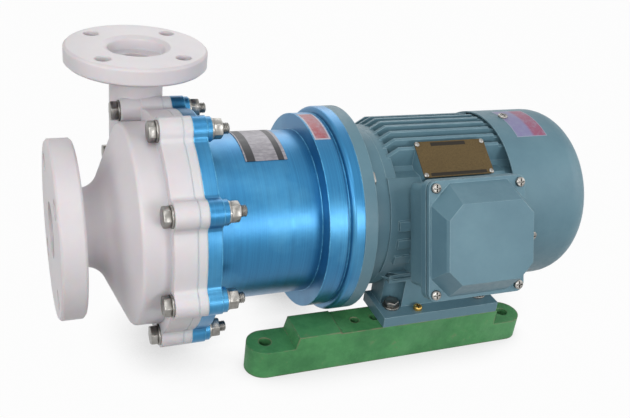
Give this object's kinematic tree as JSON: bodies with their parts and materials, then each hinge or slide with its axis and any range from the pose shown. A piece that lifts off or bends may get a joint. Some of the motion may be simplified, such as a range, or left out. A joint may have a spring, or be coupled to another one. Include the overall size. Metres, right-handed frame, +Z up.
{
  "type": "magnetic drive pump",
  "caption": "Magnetic drive pump: white plastic pump end with suction and discharge flanges, painted bracket, finned flange-and-foot motor with terminal box, on two cast rails.",
  "frame": {"origin": "On the floor at the middle of the four foundation holes of the two rails.", "axes": "+X along the shaft from the suction towards the fan, +Y away from the terminal box, +Z up, the way the discharge faces."},
  "size_m": [0.5215, 0.3026, 0.271],
  "materials": {
    "white_plastic": "satin moulded plastic",
    "blue_paint": "satin paint on cast iron",
    "motor_paint": "satin paint on aluminium casting",
    "rail_paint": "paint on rough cast iron",
    "stainless": "plain",
    "steel": "machined",
    "laminations": "stacked sheet",
    "copper": "varnished wire",
    "magnet": "sintered, plated",
    "ceramic": "ground ceramic",
    "carbon": "carbon",
    "inner_plastic": "moulded plastic",
    "fan_plastic": "moulded plastic",
    "black_plastic": "moulded plastic",
    "seal": "plain",
    "block_plastic": "moulded resin",
    "brass": "plain",
    "plate": "printed sheet, bare of words",
    "label": "printed foil, bare of words"
  },
  "bodies": {
    "pump": {"base_rail_near": "rail_paint", "base_rail_far": "rail_paint", "foot_bolts": "stainless", "foot_washers": "stainless", "motor_frame": "motor_paint", "front_end_shield": "motor_paint", "rear_end_shield": "motor_paint", "shield_screws": "stainless", "fan_cowl": "motor_paint", "cowl_screws": "stainless", "motor_nameplate": "plate", "nameplate_rivets": "stainless", "earth_screw": "brass", "terminal_box": "motor_paint", "terminal_seal": "seal", "terminal_cover": "motor_paint", "terminal_screws": "stainless", "terminal_block": "block_plastic", "terminal_studs": "brass", "cable_gland": "black_plastic", "stator_core": "laminations", "stator_windings": "copper", "bearing_outer_rings": "steel", "bearing_balls": "steel", "bracket": "blue_paint", "bracket_label": "label", "flange_bolts": "stainless", "pump_casing": "white_plastic", "containment_shell": "white_plastic", "casing_seal": "seal", "casing_bolts": "stainless", "casing_washers": "stainless", "casing_nuts": "stainless", "pump_pin": "ceramic", "pin_support": "white_plastic", "thrust_ring": "carbon"},
    "motor_rotor": {"motor_shaft": "steel", "rotor_core": "laminations", "shaft_key": "steel", "bearing_inner_rings": "steel", "fan": "fan_plastic", "fan_circlip": "steel", "magnet_carrier": "steel", "outer_magnets": "magnet", "carrier_screw": "stainless"},
    "pump_rotor": {"impeller": "inner_plastic", "impeller_bush": "carbon", "inner_yoke": "steel", "inner_magnets": "magnet", "inner_capsule": "inner_plastic"}
  },
  "joints": [
    {"name": "motor_spin", "type": "hinge", "parent": "pump", "child": "motor_rotor", "pos_m": [0, 0, 0.13], "axis": [1, 0, 0], "continuous": true},
    {"name": "impeller_spin", "type": "hinge", "parent": "pump", "child": "pump_rotor", "pos_m": [0, 0, 0.13], "axis": [1, 0, 0], "continuous": true}
  ],
  "couplings": [
    {"joint": "impeller_spin", "follows": "motor_spin", "ratio": 1}
  ]
}
